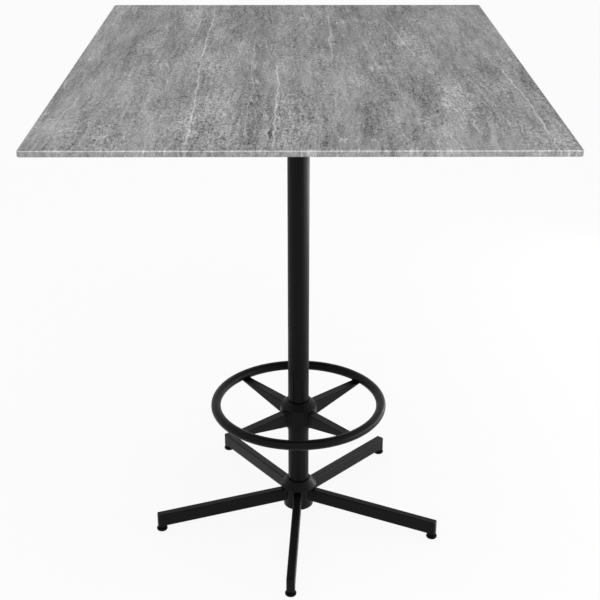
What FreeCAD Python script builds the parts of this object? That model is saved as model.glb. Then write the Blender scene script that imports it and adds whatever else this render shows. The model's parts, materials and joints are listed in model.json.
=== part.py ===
import FreeCAD, Part
import math
import os

# Bar-height pub table: a thin stone-look panel on a round steel column, with a five-leg
# base, a foot ring on four tapered spokes and five levelling glides.
# Millimetres and degrees. The origin is on the floor under the column, +Z is up,
# X runs across the width of the top and Y along its length. The front is at -Y.

# ---------------------------------------------------------------- driving dimensions
# Tabletop panel
TABLE_WIDTH = 914.4
TABLE_LENGTH = 1219.2
TABLE_HEIGHT = 1090.0
TOP_THICKNESS = 11.0
TOP_CORNER_RADIUS = 6.0
TOP_EDGE_ROUND = 2.0

# Column and the rod that clamps the whole stand together
COLUMN_DIAMETER = 48.0
COLUMN_WALL = 2.0
ROD_DIAMETER = 12.0
ROD_NUT_ACROSS_FLATS = 19.0
ROD_NUT_HEIGHT = 10.0
ROD_WASHER_DIAMETER = 34.0
ROD_WASHER_THICKNESS = 2.5
ROD_END_MARGIN = 1.0        # rod beyond its nut, and short of the socket's top

# Base hub, a casting with a socket for the column and a recess for the rod's nut
BASE_HUB_DIAMETER = 70.0
BASE_HUB_BOTTOM = 18.0
BASE_HUB_HEIGHT = 53.5
BASE_HUB_FLOOR = 8.0
BASE_HUB_CHAMFER = 0.6

# Bell collars: the loose one on the base hub and the top of the foot ring's hub
COLLAR_DIAMETER = 84.5
COLLAR_RIM_WALL = 3.6
COLLAR_LIP_HEIGHT = 1.8
COLLAR_CONE_HEIGHT = 16.7
COLLAR_EDGE_ROUND = 1.0

# Base: five legs, turned a little against the top
BASE_TURN = -3.2
LEG_COUNT = 5
LEG_WIDTH = 19.05
LEG_HEIGHT = 31.75
LEG_WALL = 2.0
LEG_CORNER_RADIUS = 3.0
LEG_INNER_CORNER_RADIUS = 1.0
LEG_GAP_UNDER_COLLAR = 6.3
GLIDE_CIRCLE_RADIUS = 332.0

# Cast foot at the end of each leg
FOOT_LENGTH = 19.0
FOOT_TONGUE_LENGTH = 12.0
FOOT_DROP = 0.4             # foot below the underside of its leg
FOOT_ROOF = 5.0
FOOT_END_ROUND = 4.0
FOOT_CORNER_RADIUS = 5.0

# Levelling glides
GLIDE_PAD_DIAMETER = 25.0
GLIDE_PAD_HEIGHT = 8.0
GLIDE_PAD_ROUND = 3.4
GLIDE_NECK_DIAMETER = 17.5
GLIDE_NECK_HEIGHT = 3.1
GLIDE_PAD_FLOOR = 2.0
GLIDE_KEY_HOLE_DIAMETER = 6.8
GLIDE_THREAD_DIAMETER = 8.0
GLIDE_HEAD_DIAMETER = 12.0
GLIDE_HEAD_THICKNESS = 2.5
GLIDE_KEY_ACROSS_FLATS = 5.0
GLIDE_KEY_DEPTH = 3.5
GLIDE_STEM_CHAMFER = 0.8
GLIDE_STEM_HEADROOM = 2.0
GLIDE_BUSH_WALL = 2.5
GLIDE_BUSH_LENGTH = 16.0
GLIDE_PAD_GAP = 0.3         # foot above the pad's neck with the glide screwed right in

# Foot ring
RING_DIAMETER = 382.4
RING_TUBE_DIAMETER = 22.2
RING_TUBE_WALL = 1.6
RING_HEIGHT = 291.0
RING_HUB_DIAMETER = 84.5
RING_HUB_HEIGHT = 42.0
RING_HUB_CONE_HEIGHT = 14.0
RING_HUB_SPOKE_DROP = 5.8
RING_HUB_WALL = 4.5
RING_HUB_ROOF = 6.0
RING_HUB_NECK_WALL = 2.6
RING_HUB_NECK_HEIGHT = 18.0
SPOKE_COUNT = 4
SPOKE_ROOT_WIDTH = 23.0
SPOKE_END_WIDTH = 21.0
SPOKE_ROOT_HEIGHT = 38.2
SPOKE_END_HEIGHT = 3.2
SPOKE_WALL = 2.8
SPOKE_CORNER_RADIUS = 2.0
SPOKE_SADDLE_DEPTH = 1.8
SPOKE_END_REACH = 1.2
SET_SCREW_DIAMETER = 8.0
SET_SCREW_LENGTH = 15.0
SET_SCREW_KEY_ACROSS_FLATS = 4.0
SET_SCREW_KEY_DEPTH = 4.0
SET_SCREW_BOSS_DIAMETER = 13.0
SET_SCREW_COUNT = 2
SET_SCREW_SPACING = 18.0
SET_SCREW_LOWEST = 13.0

# Spider under the top: a cast socket and four tapered channel arms
TOP_SOCKET_DIAMETER = 64.0
TOP_SOCKET_HEIGHT = 42.0
TOP_SOCKET_ROOF = 10.0
TOP_SOCKET_CHAMFER = 1.5
ARM_COUNT = 4
ARM_REACH = 240.0
ARM_ROOT_WIDTH = 34.0
ARM_END_WIDTH = 28.0
ARM_ROOT_HEIGHT = 30.0
ARM_END_HEIGHT = 8.0
ARM_WALL = 3.0
ARM_CORNER_RADIUS = 2.5
ARM_INNER_SCREW_RADIUS = 115.0
ARM_SCREW_END_DISTANCE = 20.0
TOP_SCREW_DIAMETER = 5.0
TOP_SCREW_HEAD_DIAMETER = 9.5
TOP_SCREW_HEAD_HEIGHT = 3.0
TOP_SCREW_END_GAP = 1.0
TOP_SCREW_KEY_ACROSS_FLATS = 3.0
TOP_SCREW_KEY_DEPTH = 1.8
INSERT_DIAMETER = 8.0
INSERT_COVER = 3.0          # panel left above each insert

# Clearances
SOCKET_CLEARANCE = 0.15     # radial, column in each casting
FIXED_CLEARANCE = 0.05      # radial, pressed or screwed pieces that never move
RUNNING_CLEARANCE = 0.05    # radial, glide stem in its bush and in its pad
HEAD_CLEARANCE = 0.1        # around the stem's head inside the pad
HOLE_CLEARANCE = 0.5        # radial, bolt holes
WASHER_CLEARANCE = 3.0      # radial, rod washer in its recess
NUT_COVER = 0.5             # recess beyond the end of the rod

# ---------------------------------------------------------------- derived places
COLUMN_RADIUS = COLUMN_DIAMETER / 2
SOCKET_RADIUS = COLUMN_RADIUS + SOCKET_CLEARANCE
TOP_UNDERSIDE = TABLE_HEIGHT - TOP_THICKNESS
BASE_HUB_RADIUS = BASE_HUB_DIAMETER / 2
BASE_HUB_TOP = BASE_HUB_BOTTOM + BASE_HUB_HEIGHT
ROD_BOTTOM = BASE_HUB_BOTTOM + NUT_COVER
ROD_NUT_BOTTOM = ROD_BOTTOM + ROD_END_MARGIN
ROD_NUT_TOP = ROD_NUT_BOTTOM + ROD_NUT_HEIGHT
NUT_RECESS_TOP = ROD_NUT_TOP + ROD_WASHER_THICKNESS
NUT_RECESS_RADIUS = ROD_WASHER_DIAMETER / 2 + WASHER_CLEARANCE
COLUMN_BOTTOM = NUT_RECESS_TOP + BASE_HUB_FLOOR
COLUMN_TOP = TOP_UNDERSIDE - TOP_SOCKET_ROOF
INSERT_TOP = TABLE_HEIGHT - INSERT_COVER
COLLAR_RIM_RADIUS = SOCKET_RADIUS + COLLAR_RIM_WALL
LEG_ROOT_TOP = BASE_HUB_TOP - LEG_GAP_UNDER_COLLAR
LEG_END = GLIDE_CIRCLE_RADIUS + FOOT_LENGTH / 2
FOOT_START = LEG_END - FOOT_LENGTH
GLIDE_NECK_TOP = GLIDE_PAD_HEIGHT + GLIDE_NECK_HEIGHT
FOOT_BOTTOM = GLIDE_NECK_TOP + GLIDE_PAD_GAP
LEG_END_TOP = FOOT_BOTTOM + FOOT_DROP + LEG_HEIGHT
LEG_SLOPE = math.atan2(LEG_ROOT_TOP - LEG_END_TOP, LEG_END - BASE_HUB_RADIUS)
FOOT_HOLE_TOP = LEG_END_TOP - FOOT_ROOF
STEM_BOTTOM = GLIDE_PAD_FLOOR + HEAD_CLEARANCE
STEM_TOP = FOOT_HOLE_TOP - GLIDE_STEM_HEADROOM
GLIDE_BUSH_RADIUS = GLIDE_THREAD_DIAMETER / 2 + GLIDE_BUSH_WALL
GLIDE_BUSH_TOP = FOOT_BOTTOM + GLIDE_BUSH_LENGTH
RING_RADIUS = RING_DIAMETER / 2
RING_TUBE_RADIUS = RING_TUBE_DIAMETER / 2
SPOKE_TOP = RING_HEIGHT - RING_TUBE_RADIUS + SPOKE_SADDLE_DEPTH
RING_HUB_RADIUS = RING_HUB_DIAMETER / 2
RING_HUB_SHOULDER = SPOKE_TOP + RING_HUB_SPOKE_DROP
RING_HUB_BOTTOM = RING_HUB_SHOULDER - RING_HUB_HEIGHT
RING_HUB_NECK_BOTTOM = RING_HUB_BOTTOM - RING_HUB_NECK_HEIGHT
RING_HUB_NECK_RADIUS = SOCKET_RADIUS + RING_HUB_NECK_WALL

FAR = 2 * TABLE_LENGTH      # beyond every piece
OVERCUT = 1.0               # how far a cutting shape passes the face it cuts
TOLERANCE = 1e-4            # for picking edges by their place

LEG_NAMES = ("front", "front_right", "back_right", "back_left", "front_left")
CORNER_NAMES = ("back_right", "back_left", "front_left", "front_right")
FRONT_ANGLE = -90.0
FIRST_CORNER_ANGLE = 45.0


# ---------------------------------------------------------------- shape helpers
def vec(x, y, z):
    return FreeCAD.Vector(x, y, z)


def cylinder(radius, z_low, z_high, x=0.0, y=0.0):
    return Part.makeCylinder(radius, z_high - z_low, vec(x, y, z_low))


def hexagon(across_flats, z_low, z_high, x=0.0, y=0.0):
    """A hexagonal prism about a vertical axis."""
    corner = across_flats / math.sqrt(3)
    angles = [math.radians(60 * step) for step in range(7)]
    points = [vec(x + corner * math.cos(a), y + corner * math.sin(a), z_low) for a in angles]
    return Part.Face(Part.makePolygon(points)).extrude(vec(0, 0, z_high - z_low))


def lathe(profile):
    """Turn a closed outline of (radius, height) points about the vertical axis."""
    points = [vec(radius, 0, height) for radius, height in profile]
    face = Part.Face(Part.makePolygon(points + points[:1]))
    return face.revolve(vec(0, 0, 0), vec(0, 0, 1), 360)


def flat_outline(points, plane_point, thickness):
    """Extrude a closed outline of places by a vector, each given by plane_point(u, v)."""
    corners = [plane_point(u, v) for u, v in points]
    return Part.Face(Part.makePolygon(corners + corners[:1])).extrude(thickness)


def turned(shape, angle):
    copy = shape.copy()
    copy.rotate(vec(0, 0, 0), vec(0, 0, 1), angle)
    return copy


def edges_where(shape, test):
    return [edge for edge in shape.Edges if test(edge)]


def circle_edges(shape, radius, height):
    """The circular edges of a turned shape at one radius and height."""

    def matches(edge):
        box = edge.BoundBox
        level = abs(box.ZMin - height) < TOLERANCE and abs(box.ZMax - height) < TOLERANCE
        return level and abs(box.XMax - radius) < TOLERANCE

    return edges_where(shape, matches)


def block(x_low, x_high, half_width, z_low, z_high):
    """A box astride the X axis."""
    corner = vec(x_low, -half_width, z_low)
    return Part.makeBox(x_high - x_low, 2 * half_width, z_high - z_low, corner)


def slab(x_low, x_high):
    """Everything between two distances along X."""
    return block(x_low, x_high, FAR, -FAR, FAR)


def rounded_bar(width, height, corner, x_start, x_end, z_top_at):
    """A bar along +X with rounded long edges, sloping down with the legs.

    z_top_at gives the height of its top face at a distance along X.
    """
    half_width = width / 2
    middle = z_top_at(x_start) - height / 2 / math.cos(LEG_SLOPE)
    run = (x_end - x_start) / math.cos(LEG_SLOPE)
    bar = Part.makeBox(run, width, height, vec(0, -half_width, -height / 2))

    def long_edge(edge):
        return edge.BoundBox.XLength > run / 2

    bar = bar.makeFillet(corner, edges_where(bar, long_edge))
    bar.rotate(vec(0, 0, 0), vec(0, 1, 0), math.degrees(LEG_SLOPE))
    bar.translate(vec(x_start, 0, middle))
    return bar


def tapered_channel(start, end, root_width, end_width, root_height, end_height, wall, corner, top):
    """A folded channel along +X, open underneath, whose sides get lower towards its end."""

    def wedge(inset, skin, below):
        root_half = root_width / 2 - inset
        end_half = end_width / 2 - inset
        plan = ((start, -root_half), (end, -end_half), (end, end_half), (start, root_half))
        side = (
            (start, top - skin),
            (end, top - skin),
            (end, top - end_height - below),
            (start, top - root_height - below),
        )
        deep = root_height + below
        upright = flat_outline(plan, lambda x, y: vec(x, y, top - deep), vec(0, 0, deep))
        across = flat_outline(
            side, lambda x, z: vec(x, -root_width, z), vec(0, 2 * root_width, 0)
        )
        return upright.common(across)

    outer = wedge(0.0, 0.0, 0.0).removeSplitter()

    def top_long_edge(edge):
        box = edge.BoundBox
        return box.ZMin > top - TOLERANCE and box.XLength > (end - start) / 2

    outer = outer.makeFillet(corner, edges_where(outer, top_long_edge))
    return outer.cut(wedge(wall, wall, root_height))


def export(name, *solids):
    """Write one node: a single solid, or a group of separate ones."""
    shape = solids[0] if len(solids) == 1 else Part.makeCompound(list(solids))
    shape.exportStep("parts/" + name + ".step")
    print(name, len(shape.Solids), shape.isValid(), round(shape.Volume, 1))


# ---------------------------------------------------------------- top and its spider
def arm_angle(index):
    return FIRST_CORNER_ANGLE + index * 360 / ARM_COUNT


def arm_screw_radii():
    return ARM_INNER_SCREW_RADIUS, ARM_REACH - ARM_SCREW_END_DISTANCE


def top_screw_places():
    places = []
    for index in range(ARM_COUNT):
        angle = math.radians(arm_angle(index))
        for radius in arm_screw_radii():
            places.append((radius * math.cos(angle), radius * math.sin(angle)))
    return places


def make_tabletop_panel():
    corner = vec(-TABLE_WIDTH / 2, -TABLE_LENGTH / 2, TOP_UNDERSIDE)
    panel = Part.makeBox(TABLE_WIDTH, TABLE_LENGTH, TOP_THICKNESS, corner)
    upright = edges_where(panel, lambda edge: edge.BoundBox.ZLength > TOP_THICKNESS / 2)
    panel = panel.makeFillet(TOP_CORNER_RADIUS, upright)
    level = edges_where(panel, lambda edge: edge.BoundBox.ZLength < TOLERANCE)
    panel = panel.makeFillet(TOP_EDGE_ROUND, level)
    hole_radius = INSERT_DIAMETER / 2 + FIXED_CLEARANCE
    for x, y in top_screw_places():
        panel = panel.cut(cylinder(hole_radius, TOP_UNDERSIDE - OVERCUT, INSERT_TOP, x, y))
    return panel


def make_threaded_insert(x, y):
    outer = cylinder(INSERT_DIAMETER / 2, TOP_UNDERSIDE, INSERT_TOP, x, y)
    return outer.cut(cylinder(TOP_SCREW_DIAMETER / 2, TOP_UNDERSIDE, INSERT_TOP, x, y))


def make_top_screw(x, y):
    head_top = TOP_UNDERSIDE - ARM_WALL
    head_bottom = head_top - TOP_SCREW_HEAD_HEIGHT
    shank_radius = TOP_SCREW_DIAMETER / 2 - FIXED_CLEARANCE
    head = cylinder(TOP_SCREW_HEAD_DIAMETER / 2, head_bottom, head_top, x, y)
    lower = edges_where(head, lambda edge: edge.BoundBox.ZMax < head_bottom + TOLERANCE)
    head = head.makeFillet(TOP_SCREW_HEAD_HEIGHT / 2, lower)
    shank = cylinder(shank_radius, head_top, INSERT_TOP - TOP_SCREW_END_GAP, x, y)
    key_top = head_bottom + TOP_SCREW_KEY_DEPTH
    key = hexagon(TOP_SCREW_KEY_ACROSS_FLATS, head_bottom - OVERCUT, key_top, x, y)
    return head.fuse(shank).cut(key).removeSplitter()


def make_top_arm():
    arm = tapered_channel(
        start=TOP_SOCKET_DIAMETER / 4,
        end=ARM_REACH,
        root_width=ARM_ROOT_WIDTH,
        end_width=ARM_END_WIDTH,
        root_height=ARM_ROOT_HEIGHT,
        end_height=ARM_END_HEIGHT,
        wall=ARM_WALL,
        corner=ARM_CORNER_RADIUS,
        top=TOP_UNDERSIDE,
    )
    arm = arm.cut(cylinder(TOP_SOCKET_DIAMETER / 2, 0, FAR))
    hole_radius = TOP_SCREW_DIAMETER / 2 + HOLE_CLEARANCE
    for radius in arm_screw_radii():
        arm = arm.cut(cylinder(hole_radius, 0, FAR, radius, 0))
    return arm


def make_top_socket():
    bottom = TOP_UNDERSIDE - TOP_SOCKET_HEIGHT
    socket = cylinder(TOP_SOCKET_DIAMETER / 2, bottom, TOP_UNDERSIDE)
    rim = circle_edges(socket, TOP_SOCKET_DIAMETER / 2, bottom)
    socket = socket.makeChamfer(TOP_SOCKET_CHAMFER, rim)
    socket = socket.cut(cylinder(SOCKET_RADIUS, bottom - OVERCUT, COLUMN_TOP))
    return socket.cut(cylinder(ROD_DIAMETER / 2, bottom, FAR))


# ---------------------------------------------------------------- column and tie rod
def make_column():
    outer = cylinder(COLUMN_RADIUS, COLUMN_BOTTOM, COLUMN_TOP)
    return outer.cut(cylinder(COLUMN_RADIUS - COLUMN_WALL, COLUMN_BOTTOM, COLUMN_TOP))


def make_tie_rod():
    radius = ROD_DIAMETER / 2 - FIXED_CLEARANCE
    return cylinder(radius, ROD_BOTTOM, TOP_UNDERSIDE - ROD_END_MARGIN)


def make_rod_washer():
    washer = cylinder(ROD_WASHER_DIAMETER / 2, ROD_NUT_TOP, NUT_RECESS_TOP)
    return washer.cut(cylinder(ROD_DIAMETER / 2 + HOLE_CLEARANCE, ROD_NUT_TOP, NUT_RECESS_TOP))


def make_rod_nut():
    nut = hexagon(ROD_NUT_ACROSS_FLATS, ROD_NUT_BOTTOM, ROD_NUT_TOP)
    return nut.cut(cylinder(ROD_DIAMETER / 2, ROD_NUT_BOTTOM, ROD_NUT_TOP))


# ---------------------------------------------------------------- base hub and collar
def make_base_hub():
    hub = cylinder(BASE_HUB_RADIUS, BASE_HUB_BOTTOM, BASE_HUB_TOP)
    hub = hub.makeChamfer(BASE_HUB_CHAMFER, circle_edges(hub, BASE_HUB_RADIUS, BASE_HUB_BOTTOM))
    hub = hub.cut(cylinder(SOCKET_RADIUS, COLUMN_BOTTOM, FAR))
    hub = hub.cut(cylinder(NUT_RECESS_RADIUS, 0, NUT_RECESS_TOP))
    return hub.cut(cylinder(ROD_DIAMETER / 2 + HOLE_CLEARANCE, 0, FAR))


def bell_rounded(bell, lip_radius, shoulder, rim_top):
    """Soften the shoulder and the rim of a bell-shaped casting."""
    soft = circle_edges(bell, lip_radius, shoulder)
    soft += circle_edges(bell, COLLAR_RIM_RADIUS, rim_top)
    return bell.makeFillet(COLLAR_EDGE_ROUND, soft)


def make_base_collar():
    lip_radius = COLLAR_DIAMETER / 2
    shoulder = BASE_HUB_TOP + COLLAR_LIP_HEIGHT
    rim_top = shoulder + COLLAR_CONE_HEIGHT
    collar = lathe(
        (
            (SOCKET_RADIUS, BASE_HUB_TOP),
            (lip_radius, BASE_HUB_TOP),
            (lip_radius, shoulder),
            (COLLAR_RIM_RADIUS, rim_top),
            (SOCKET_RADIUS, rim_top),
        )
    )
    return bell_rounded(collar, lip_radius, shoulder, rim_top)


# ---------------------------------------------------------------- legs and glides
def leg_angle(index):
    return FRONT_ANGLE + BASE_TURN + index * 360 / LEG_COUNT


def leg_top_at(x):
    return LEG_ROOT_TOP - (x - BASE_HUB_RADIUS) * math.tan(LEG_SLOPE)


def leg_inner_top_at(x):
    return leg_top_at(x) - LEG_WALL / math.cos(LEG_SLOPE)


def leg_bore(gap):
    """The space inside the leg's tube, run past both its ends and taken in by a gap all round."""
    width = LEG_WIDTH - 2 * LEG_WALL - 2 * gap
    height = LEG_HEIGHT - 2 * LEG_WALL - 2 * gap
    end = LEG_END + LEG_HEIGHT
    return rounded_bar(width, height, LEG_INNER_CORNER_RADIUS, 0, end, lambda x: leg_inner_top_at(x) - gap)


def make_leg_tube():
    outer = rounded_bar(LEG_WIDTH, LEG_HEIGHT, LEG_CORNER_RADIUS, 0, LEG_END + LEG_HEIGHT, leg_top_at)
    tube = outer.cut(leg_bore(0.0)).common(slab(BASE_HUB_RADIUS / 2, FOOT_START))
    return tube.cut(cylinder(BASE_HUB_RADIUS, 0, FAR))


def foot_nose():
    """Everything under a rounded top end edge, and all that lies further in."""
    nose = block(FOOT_START, LEG_END, LEG_WIDTH, -FAR, LEG_END_TOP)

    def top_end(edge):
        box = edge.BoundBox
        return box.XMin > LEG_END - TOLERANCE and box.ZMin > LEG_END_TOP - TOLERANCE

    nose = nose.makeFillet(FOOT_END_ROUND, edges_where(nose, top_end))
    return nose.fuse(slab(FOOT_START, LEG_END - FOOT_END_ROUND))


def make_leg_foot():
    """The cast end of a leg, level underneath, with a tongue in the leg's tube."""
    body = block(FOOT_START - FOOT_LENGTH, LEG_END, LEG_WIDTH / 2, FOOT_BOTTOM, FAR)

    def outer_upright(edge):
        box = edge.BoundBox
        return box.XMin > LEG_END - TOLERANCE and box.ZLength > FAR / 2

    body = body.makeFillet(FOOT_CORNER_RADIUS, edges_where(body, outer_upright))
    deep = 2 * LEG_HEIGHT + 2 * FOOT_DROP
    under_top = rounded_bar(LEG_WIDTH, deep, LEG_CORNER_RADIUS, 0, LEG_END + LEG_HEIGHT, leg_top_at)
    body = body.common(under_top).common(foot_nose())
    tongue_span = slab(FOOT_START - FOOT_TONGUE_LENGTH, FOOT_START + LEG_WALL)
    foot = body.fuse(leg_bore(FIXED_CLEARANCE).common(tongue_span)).removeSplitter()
    bush_hole_radius = GLIDE_BUSH_RADIUS + FIXED_CLEARANCE
    foot = foot.cut(cylinder(bush_hole_radius, 0, GLIDE_BUSH_TOP, GLIDE_CIRCLE_RADIUS, 0))
    stem_hole_radius = GLIDE_THREAD_DIAMETER / 2 + HOLE_CLEARANCE
    return foot.cut(cylinder(stem_hole_radius, 0, FOOT_HOLE_TOP, GLIDE_CIRCLE_RADIUS, 0))


def make_glide_bush():
    bush = cylinder(GLIDE_BUSH_RADIUS, FOOT_BOTTOM, GLIDE_BUSH_TOP, GLIDE_CIRCLE_RADIUS, 0)
    return bush.cut(cylinder(GLIDE_THREAD_DIAMETER / 2, 0, FAR, GLIDE_CIRCLE_RADIUS, 0))


def make_glide_stem():
    """The screw of a glide, with a flat round head that the pad is clipped on."""
    radius = GLIDE_THREAD_DIAMETER / 2 - RUNNING_CLEARANCE
    head_top = STEM_BOTTOM + GLIDE_HEAD_THICKNESS
    stem = cylinder(radius, head_top, STEM_TOP)
    stem = stem.makeChamfer(GLIDE_STEM_CHAMFER, circle_edges(stem, radius, STEM_TOP))
    head = cylinder(GLIDE_HEAD_DIAMETER / 2, STEM_BOTTOM, head_top)
    key = hexagon(GLIDE_KEY_ACROSS_FLATS, STEM_BOTTOM - OVERCUT, STEM_BOTTOM + GLIDE_KEY_DEPTH)
    stem = stem.fuse(head).cut(key).removeSplitter()
    stem.translate(vec(GLIDE_CIRCLE_RADIUS, 0, 0))
    return stem


def make_glide_pad():
    """A round pad with a neck, clipped over the stem's head and open to a key from below."""
    outer_radius = GLIDE_PAD_DIAMETER / 2
    button = cylinder(outer_radius, 0, GLIDE_PAD_HEIGHT)
    edges = circle_edges(button, outer_radius, 0) + circle_edges(button, outer_radius, GLIDE_PAD_HEIGHT)
    button = button.makeFillet(GLIDE_PAD_ROUND, edges)
    cavity_top = STEM_BOTTOM + GLIDE_HEAD_THICKNESS + HEAD_CLEARANCE
    cavity = cylinder(GLIDE_HEAD_DIAMETER / 2 + HEAD_CLEARANCE, GLIDE_PAD_FLOOR, cavity_top)
    neck = cylinder(GLIDE_NECK_DIAMETER / 2, GLIDE_PAD_FLOOR, GLIDE_NECK_TOP)
    pad = button.fuse(neck).cut(cavity).removeSplitter()
    pad = pad.cut(cylinder(GLIDE_THREAD_DIAMETER / 2 + RUNNING_CLEARANCE, GLIDE_PAD_FLOOR, FAR))
    pad = pad.cut(cylinder(GLIDE_KEY_HOLE_DIAMETER / 2, -OVERCUT, cavity_top))
    pad.translate(vec(GLIDE_CIRCLE_RADIUS, 0, 0))
    return pad


# ---------------------------------------------------------------- foot ring
def spoke_angle(index):
    return FIRST_CORNER_ANGLE + BASE_TURN + index * 360 / SPOKE_COUNT


def ring_torus(tube_radius):
    return Part.makeTorus(RING_RADIUS, tube_radius, vec(0, 0, RING_HEIGHT))


def make_foot_ring():
    return ring_torus(RING_TUBE_RADIUS).cut(ring_torus(RING_TUBE_RADIUS - RING_TUBE_WALL))


def make_ring_spoke():
    spoke = tapered_channel(
        start=RING_HUB_RADIUS / 2,
        end=RING_RADIUS + SPOKE_END_REACH,
        root_width=SPOKE_ROOT_WIDTH,
        end_width=SPOKE_END_WIDTH,
        root_height=SPOKE_ROOT_HEIGHT,
        end_height=SPOKE_END_HEIGHT,
        wall=SPOKE_WALL,
        corner=SPOKE_CORNER_RADIUS,
        top=SPOKE_TOP,
    )
    spoke = spoke.cut(cylinder(RING_HUB_RADIUS, 0, FAR))
    return spoke.cut(ring_torus(RING_TUBE_RADIUS))


def set_screw_heights():
    first = RING_HUB_BOTTOM + SET_SCREW_LOWEST
    return [first + step * SET_SCREW_SPACING for step in range(SET_SCREW_COUNT)]


def set_screw_angle():
    """Half way between the two back spokes."""
    return spoke_angle(0) + 180 / SPOKE_COUNT


def radial_cylinder(radius, start, end, height):
    shape = Part.makeCylinder(radius, end - start, vec(start, 0, height), vec(1, 0, 0))
    return turned(shape, set_screw_angle())


def make_ring_hub():
    """A bell-topped casting with a neck, hollow from below, with bosses for its set screws."""
    shoulder = RING_HUB_SHOULDER
    rim_top = shoulder + RING_HUB_CONE_HEIGHT
    hub = lathe(
        (
            (SOCKET_RADIUS, RING_HUB_NECK_BOTTOM),
            (RING_HUB_NECK_RADIUS, RING_HUB_NECK_BOTTOM),
            (RING_HUB_NECK_RADIUS, RING_HUB_BOTTOM),
            (RING_HUB_RADIUS, RING_HUB_BOTTOM),
            (RING_HUB_RADIUS, shoulder),
            (COLLAR_RIM_RADIUS, rim_top),
            (SOCKET_RADIUS, rim_top),
        )
    )
    hub = bell_rounded(hub, RING_HUB_RADIUS, shoulder, rim_top)
    hub = hub.makeChamfer(COLLAR_EDGE_ROUND, circle_edges(hub, RING_HUB_RADIUS, RING_HUB_BOTTOM))
    groove = cylinder(RING_HUB_RADIUS - RING_HUB_WALL, 0, shoulder - RING_HUB_ROOF)
    hub = hub.cut(groove.cut(cylinder(SOCKET_RADIUS + RING_HUB_WALL, 0, FAR)))
    boss_start = SOCKET_RADIUS + RING_HUB_WALL / 2
    boss_end = RING_HUB_RADIUS - RING_HUB_WALL / 2
    for height in set_screw_heights():
        hub = hub.fuse(radial_cylinder(SET_SCREW_BOSS_DIAMETER / 2, boss_start, boss_end, height))
        hub = hub.cut(radial_cylinder(SET_SCREW_DIAMETER / 2, 0, FAR, height))
    return hub.removeSplitter()


def make_set_screw(height):
    start = COLUMN_RADIUS + FIXED_CLEARANCE
    end = start + SET_SCREW_LENGTH
    screw = radial_cylinder(SET_SCREW_DIAMETER / 2 - FIXED_CLEARANCE, start, end, height)
    key = hexagon(SET_SCREW_KEY_ACROSS_FLATS, end - SET_SCREW_KEY_DEPTH, end + OVERCUT)
    key.rotate(vec(0, 0, 0), vec(0, 1, 0), 90)
    key.translate(vec(0, 0, height))
    return screw.cut(turned(key, set_screw_angle()))


# ---------------------------------------------------------------- the table
def build():
    os.makedirs("parts", exist_ok=True)

    export("tabletop_panel", make_tabletop_panel())
    export("top_threaded_inserts", *[make_threaded_insert(x, y) for x, y in top_screw_places()])
    export("top_screws", *[make_top_screw(x, y) for x, y in top_screw_places()])
    export("top_socket", make_top_socket())
    for index in range(ARM_COUNT):
        export("top_arm_" + CORNER_NAMES[index], turned(make_top_arm(), arm_angle(index)))

    export("column_tube", make_column())
    export("tie_rod", make_tie_rod())
    export("tie_rod_washer", make_rod_washer())
    export("tie_rod_nut", make_rod_nut())

    export("base_hub", make_base_hub())
    export("base_collar", make_base_collar())
    leg_pieces = (
        ("leg_tube_", make_leg_tube()),
        ("leg_foot_", make_leg_foot()),
        ("glide_bush_", make_glide_bush()),
        ("glide_stem_", make_glide_stem()),
        ("glide_pad_", make_glide_pad()),
    )
    for index in range(LEG_COUNT):
        for prefix, shape in leg_pieces:
            export(prefix + LEG_NAMES[index], turned(shape, leg_angle(index)))

    export("foot_ring_tube", make_foot_ring())
    export("foot_ring_hub", make_ring_hub())
    export("foot_ring_set_screws", *[make_set_screw(height) for height in set_screw_heights()])
    for index in range(SPOKE_COUNT):
        export("foot_ring_spoke_" + CORNER_NAMES[index], turned(make_ring_spoke(), spoke_angle(index)))


build()
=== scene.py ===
"""Finishes and fine detail of a bar-height pub table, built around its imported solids.

Laid out as an add-on and run as a script. Each group of pieces has its own operator, the
sizes and colours that a user would change are scene properties, and main() calls the
operators in order. Everything is in metres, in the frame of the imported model.
"""

import json
import math
import random

import bpy
from mathutils import Matrix, Vector
from mathutils.geometry import convex_hull_2d


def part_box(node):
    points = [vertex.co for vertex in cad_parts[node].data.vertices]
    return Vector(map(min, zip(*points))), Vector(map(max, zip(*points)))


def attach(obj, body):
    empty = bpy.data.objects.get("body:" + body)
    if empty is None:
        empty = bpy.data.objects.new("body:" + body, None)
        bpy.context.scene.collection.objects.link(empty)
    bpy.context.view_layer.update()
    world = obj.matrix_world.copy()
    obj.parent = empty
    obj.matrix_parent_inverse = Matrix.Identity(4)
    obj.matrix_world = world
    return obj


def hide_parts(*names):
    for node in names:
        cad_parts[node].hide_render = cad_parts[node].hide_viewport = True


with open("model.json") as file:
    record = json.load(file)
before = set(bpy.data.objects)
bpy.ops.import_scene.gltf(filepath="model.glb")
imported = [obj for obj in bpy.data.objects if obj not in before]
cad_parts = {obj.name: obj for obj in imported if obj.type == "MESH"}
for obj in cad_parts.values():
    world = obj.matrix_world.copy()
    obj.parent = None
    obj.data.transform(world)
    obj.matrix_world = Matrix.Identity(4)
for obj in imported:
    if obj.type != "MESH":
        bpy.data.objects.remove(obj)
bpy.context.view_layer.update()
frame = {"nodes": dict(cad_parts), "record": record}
NODES = frame["nodes"]
RECORD = frame["record"]

bl_info = {
    "name": "Pub Table Finisher",
    "version": (1, 0, 0),
    "blender": (4, 5, 0),
    "location": "View3D > Sidebar > Pub Table",
    "description": "Gives a pub table its laminate, powder coat, welds, threads and studio",
    "category": "Object",
}

# ---------------------------------------------------------------- sizes from the frame
LEG_NAMES = ("front", "front_right", "back_right", "back_left", "front_left")
CORNER_NAMES = ("back_right", "back_left", "front_left", "front_right")
FIXED_BODY = "table_frame"


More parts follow.
